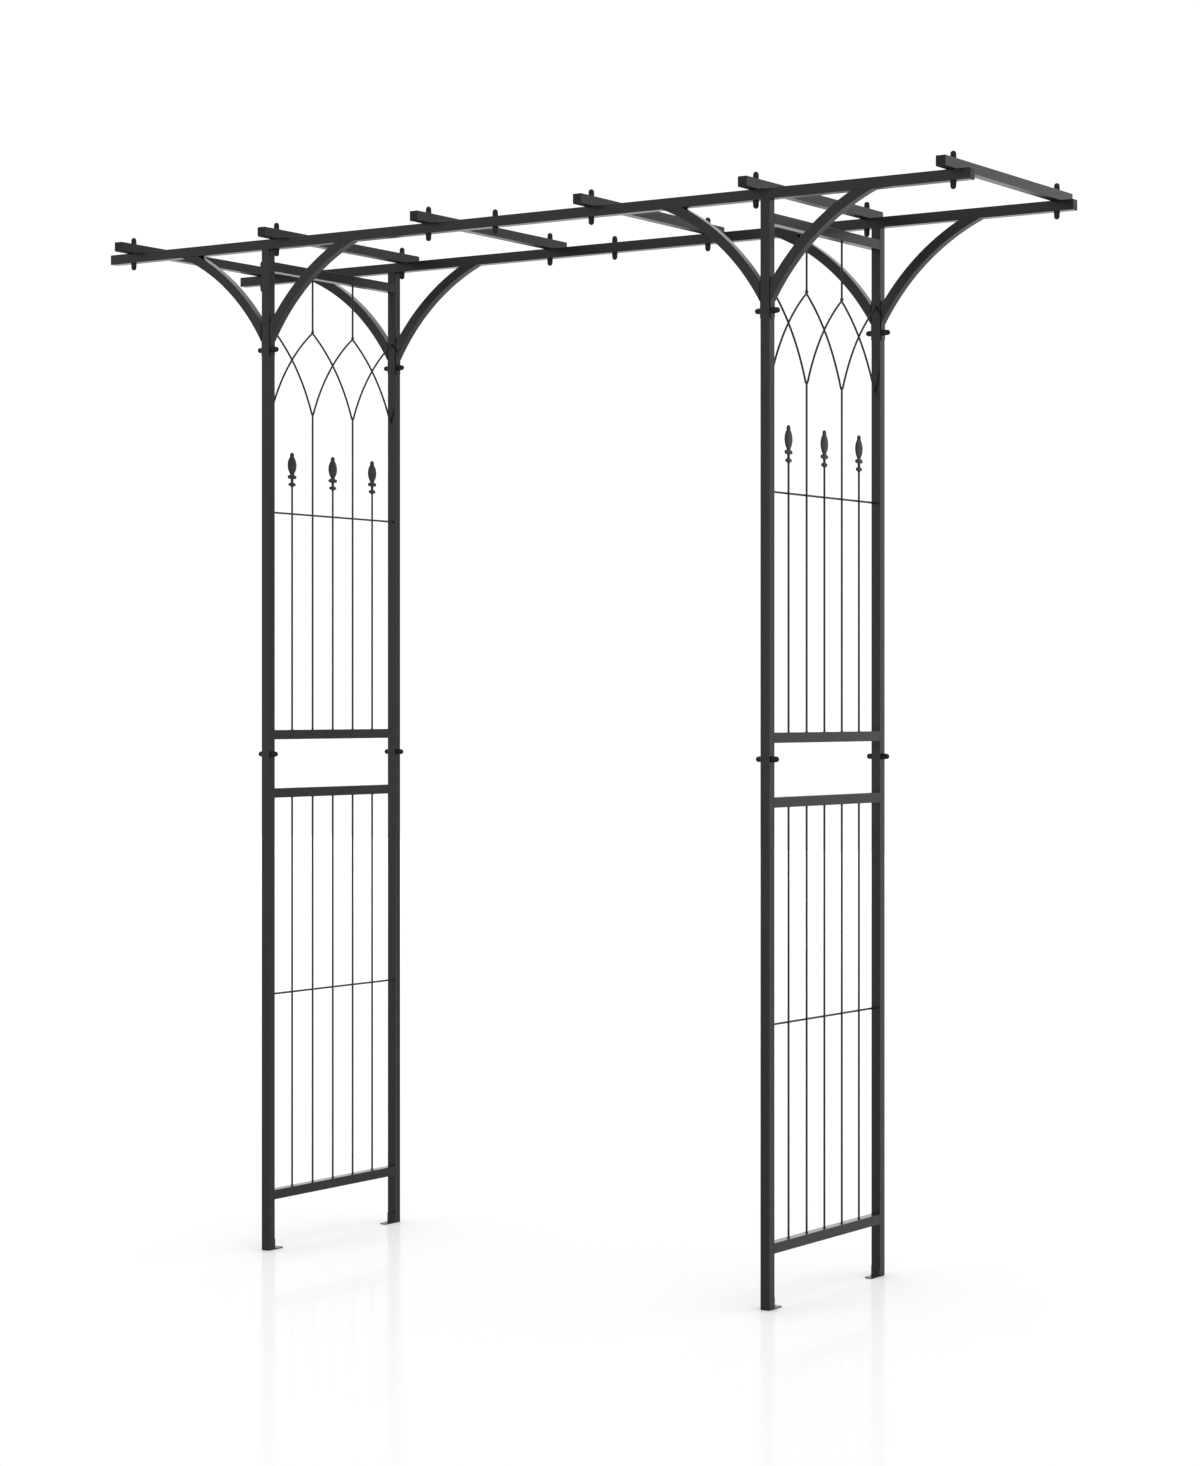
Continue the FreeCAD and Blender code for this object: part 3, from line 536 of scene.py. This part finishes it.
capShape = turned(capProfile(cap), cap["columns"])
spliceX = middle("rail_splice_bolts")[0]
roofMoves = []
for face in faces:
    postY = postAt[face, "left"][1]
    for x in purlinX:
        roofMoves += [(facing("+z"), (x, postY, purlinTop)), (facing("-z"), (x, postY, railUnder))]
    roofMoves += [(facing("+z"), (spliceX, postY, railTop)), (facing("-z"), (spliceX, postY, railUnder))]
postMoves = []
for centre in postAt.values():
    for node, half in (("post_bolts", postHalf), ("brace_bolts", plateFace)):
        height = middle(node)[2]
        postMoves += [(facing("+x"), (centre[0] + half, centre[1], height)),
                      (facing("-x"), (centre[0] - half, centre[1], height))]
for name, moves in (("roof_bolt_caps", roofMoves), ("post_bolt_caps", postMoves)):
    points, lists = copies(*capShape, moves)
    addPiece(f"turned_{name}", points, lists, capPlastic, "cap_plastic", name, weighted=False)
print("bolt caps turned")


# End plugs of the long rails and purlins.

# crown: how far in from the outside, and height, of each ring of the plate.
plug = {"plate": 0.0015, "boss": 0.008, "bossEdge": 0.0006, "wall": 0.00095, "corner": 0.0009,
        "crown": ((0, 0), (0, 0.0008), (0.00012, 0.00105), (0.0004, 0.00125), (0.0011, 0.00136),
                  (0.003, 0.00143), (0.006, 0.00149))}


def plugShape(values, half):
    # Round-cornered squares stacked along Z: the boss inside the tube, then the plate, whose face is
    # slightly crowned. Each ring is (how far in from the outside, height).
    wall, boss, edge = values["wall"], values["boss"], values["bossEdge"]
    rings = [(wall + edge, -boss), (wall, -boss + edge), (wall, 0), *values["crown"]]
    outline = roundSquare(half, values["corner"])
    points = np.concatenate([np.column_stack([outline * (1 - inset / half), np.full(len(outline), height)])
                             for inset, height in rings])
    return points, outward(points, closedRings(len(rings), len(outline)))


def addPlugs():
    railHalf = (railTop - railUnder) / 2
    low, high = corners("rail_end_plugs")
    moves = []
    for face in faces:
        postY = postAt[face, "left"][1]
        moves += [(facing("+x"), (high[0] - plug["plate"], postY, railUnder + railHalf)),
                  (facing("-x"), (low[0] + plug["plate"], postY, railUnder + railHalf))]
    points, lists = copies(*plugShape(plug, railHalf), moves)
    addPiece("moulded_rail_plugs", points, lists, plugPlastic, "plug_plastic", "rail_end_plugs")
    purlinHalf = (purlinTop - railTop) / 2
    low, high = corners("purlin_end_plugs")
    moves = []
    for x in purlinX:
        moves += [(facing("+y"), (x, high[1] - plug["plate"], railTop + purlinHalf)),
                  (facing("-y"), (x, low[1] + plug["plate"], railTop + purlinHalf))]
    points, lists = copies(*plugShape(plug, purlinHalf), moves)
    addPiece("moulded_purlin_plugs", points, lists, plugPlastic, "plug_plastic", "purlin_end_plugs")


addPlugs()
print("end plugs moulded")


# Foot brackets.

foot = {"width": 0.018, "leg": 0.025, "flange": 0.030, "thick": 0.002, "bend": 0.0018, "corner": 0.005,
        "hole": 0.00325, "reach": 0.017, "rows": 44, "columns": 72, "halvings": 40, "ease": 0.0003}


def footShape(values):
    # A flat strip drawn as rays from the peg hole to its round-cornered outline, over the top face, down
    # the cut edge and back under, then bent up: s along the strip becomes a flat flange, a quarter circle
    # and a flat leg.
    half, thick, bend = values["width"] / 2, values["thick"], values["bend"] + values["thick"] / 2
    arc = bend * math.pi / 2
    flange = values["flange"] - thick / 2 - bend
    leg = values["leg"] - thick / 2 - bend
    long = flange + arc + leg
    middleS = values["flange"] - values["reach"]
    turn = np.linspace(0, 2 * math.pi, values["columns"], endpoint=False)
    direction = np.stack([np.cos(turn), np.sin(turn)], -1)
    # Distance along each ray to the outline, found by halving between a point inside and one outside.
    near, far = np.zeros(len(turn)), np.full(len(turn), long * 2)
    for halving in range(values["halvings"]):
        guess = (near + far) / 2
        s, w = middleS + guess * direction[:, 0], guess * direction[:, 1]
        deep = np.maximum(np.abs(s - long / 2) - (long / 2 - values["corner"]), 0)
        wide = np.maximum(np.abs(w) - (half - values["corner"]), 0)
        inside = np.hypot(deep, wide) < values["corner"]
        near, far = np.where(inside, guess, near), np.where(inside, far, guess)
    share = np.linspace(0, 1, values["rows"])
    ease = values["ease"]
    reach = values["hole"] + ease + share[:, None] * (near - values["hole"] - 2 * ease)
    lift = np.full(len(share), thick / 2)
    edge = np.stack([near - ease * rounding, near, near, near - ease * rounding])
    rim = values["hole"] + np.array([rounding, 0, 0, rounding])[:, None] * ease + 0 * near
    lifts = thick / 2 - ease * np.array([rounding, 1])
    distance = np.concatenate([reach, edge, reach[::-1], rim])
    height = np.concatenate([lift, lifts, -lifts[::-1], -lift, -lifts, lifts[::-1]])[:, None] + 0 * near
    s = middleS + distance * direction[:, 0]
    w = distance * direction[:, 1]
    bent = np.clip((s - flange) / arc, 0, 1) * math.pi / 2
    beyond = np.maximum(s - flange - arc, 0)
    y = values["flange"] - np.minimum(s, flange) - (bend - height) * np.sin(bent)
    z = thick / 2 + bend - (bend - height) * np.cos(bent) + beyond
    points = np.stack([w, y, z], -1).reshape(-1, 3)
    lists = [gridFaces(len(distance), len(turn), closeRows=True)]
    return points, outward(points, lists)


footMoves = []
for (face, side), centre in postAt.items():
    turn = np.diag([1, 1, 1]) if face == "front" else np.diag([-1, -1, 1])
    inner = centre[1] + (postHalf if face == "front" else -postHalf)
    footMoves.append((turn, (centre[0], inner, 0)))
points, lists = copies(*footShape(foot), footMoves)
addPiece("bent_foot_brackets", points, lists, tubeCoat, "coated_tube", "foot_brackets")
print("foot brackets bent")


# Weld beads where wires meet tubes, arcs meet posts and tubes meet tubes.

# touch and joint stretch a round spot of weld: touch where a cross wire meets an upright, joint where
# two arcs and an upright come together. sink and lift move spots up or down from the arcs' ends, in wire
# radii. The middle line of a bead lies wireOut outside a wire's surface, or tubeIn inside a tube's.
weld = {"wireBead": 0.0011, "spread": (0.85, 1.1), "around": 16, "ripples": 5,
        "tubeBead": 0.0009, "flat": 0.7, "corner": 0.0016, "pieces": 12, "waves": 21, "drift": 0.37,
        "spot": 0.0024, "sink": 0.6, "touch": 0.62, "joint": (1.45, 1.05, 1.1), "lift": 0.2,
        "section": 6, "lump": 0.16, "wireOut": 0.0002, "tubeIn": 0.0002, "seeds": (3, 5),
        "spotReach": 80, "spotRings": 7, "spotColumns": 12}


def placeBeads(local, places):
    # One bead after another: bead k is turned to face its direction and moved to its centre.
    turns = np.array([facing(direction) for direction, centre in places])
    centres = np.array([centre for direction, centre in places])
    points = np.einsum("kij,kabj->kabi", turns, local) + centres[:, None, None, :]
    around, section = local.shape[1:3]
    faceList = gridFaces(around, section, closeRows=True)
    lists = [faceList + around * section * number for number in range(len(places))]
    return points.reshape(-1, 3), outward(points.reshape(-1, 3), [np.concatenate(lists)])


def ringBeads(places, ring, values, seed):
    # A thin ring round each wire: ring radius plus a small circle whose radius swells and sinks a few
    # times round the ring, out of step from one bead to the next.
    noise = np.random.default_rng(seed)
    phase = noise.uniform(0, 2 * math.pi, (len(places), 1, 1))
    size = values["wireBead"] * noise.uniform(*values["spread"], (len(places), 1, 1))
    a = np.linspace(0, 2 * math.pi, values["around"], endpoint=False)[None, :, None]
    b = np.linspace(0, 2 * math.pi, values["section"], endpoint=False)[None, None, :]
    thick = size * (1 + values["lump"] * np.sin(values["ripples"] * a + phase))
    radius = ring + thick * np.cos(b)
    local = np.stack([radius * np.cos(a), radius * np.sin(a), thick * np.sin(b) + 0 * a], -1)
    return placeBeads(local, places)


def squareBeads(places, half, values, seed):
    # The same kind of bead carried round a square tube, flattened a little, its swelling a product of
    # two waves.
    path = roundSquare(half, values["corner"], 4)
    share = np.linspace(0, 1, values["pieces"], endpoint=False)[:, None]
    step = np.roll(path, -1, 0) - path
    flat = np.linalg.norm(step, axis=1) > half
    path = np.concatenate([corner + along * share if isFlat else corner[None]
                           for corner, along, isFlat in zip(path, step, flat)])
    normal = np.roll(path, -1, 0) - np.roll(path, 1, 0)
    normal = np.stack([normal[:, 1], -normal[:, 0]], -1) / np.linalg.norm(normal, axis=1)[:, None]
    noise = np.random.default_rng(seed)
    wave = np.linspace(0, 2 * math.pi * values["waves"], len(path), endpoint=False)[None, :, None]
    phase = noise.uniform(0, 2 * math.pi, (len(places), 1, 1))
    lump = np.sin(wave + phase) * np.sin(wave * values["drift"] + 2 * phase)
    thick = values["tubeBead"] * (1 + values["lump"] * lump)
    b = np.linspace(0, 2 * math.pi, values["section"], endpoint=False)[None, None, :]
    out = thick * np.cos(b) * values["flat"]
    local = np.concatenate([path[None, :, None, :] + out[..., None] * normal[None, :, None, :],
                            (thick * np.sin(b))[..., None]], -1)
    return placeBeads(local, places)


def addWelds():
    inner = innerSpan / 2
    rings = []
    tubes = []
    spots = []
    angle = np.radians(np.linspace(-weld["spotReach"], weld["spotReach"], weld["spotRings"]))
    ball = turned(weld["spot"] * np.stack([np.cos(angle), np.sin(angle)], -1), weld["spotColumns"])
    for side in sides:
        postX = postAt["front", side][0]
        low, high = corners(f"lower_wires_{side}")
        upperLow, upperHigh = corners(f"upper_wires_{side}")
        for number in range(1, wireGaps):
            rings += [("+z", (postX, wireY[number], z)) for z in (low[2], high[2], upperLow[2])]
        for number in range(2, wireGaps, 2):
            rings.append(("+z", (postX, wireY[number], upperHigh[2])))
        for level in ("lower", "upper"):
            cross = middle(f"cross_wire_{level}_{side}")
            rings += [("+y", (cross[0], y, cross[2])) for y in (-inner, inner)]
            touch = (cross[0] + postX) / 2
            spots += [(np.eye(3) * weld["touch"], (touch, y, cross[2])) for y in wireY[1:-1]]
        arcLow, arcHigh = corners(f"lattice_arcs_{side}")
        atPosts = (arcLow[2] + wireRadius * weld["sink"], arcHigh[2] - wireRadius * weld["sink"])
        spots += [(np.eye(3), (postX, y, z)) for y in (-inner, inner) for z in atPosts]
        atUprights = (arcLow[2] + wireRadius * weld["lift"], arcHigh[2])
        spots += [(np.diag(weld["joint"]), (postX, wireY[number], z))
                  for number in range(2, wireGaps, 2) for z in atUprights]
        for name in ("bottom", "lower_mid", "upper_mid", "top"):
            height = middle(f"panel_rail_{name}_{side}")[2]
            tubes += [("+y", (postX, y, height)) for y in (-inner, inner)]
    beads = ringBeads(rings, wireRadius + weld["wireOut"], weld, weld["seeds"][0])
    points, lists = joined([beads, copies(*ball, spots)])
    addPiece("wire_welds", points, lists, wireCoat, "coated_wire", weighted=False)
    points, lists = squareBeads(tubes, postHalf - weld["tubeIn"], weld, weld["seeds"][1])
    addPiece("tube_welds", points, lists, tubeCoat, "coated_tube", weighted=False)


addWelds()
print("welds added")
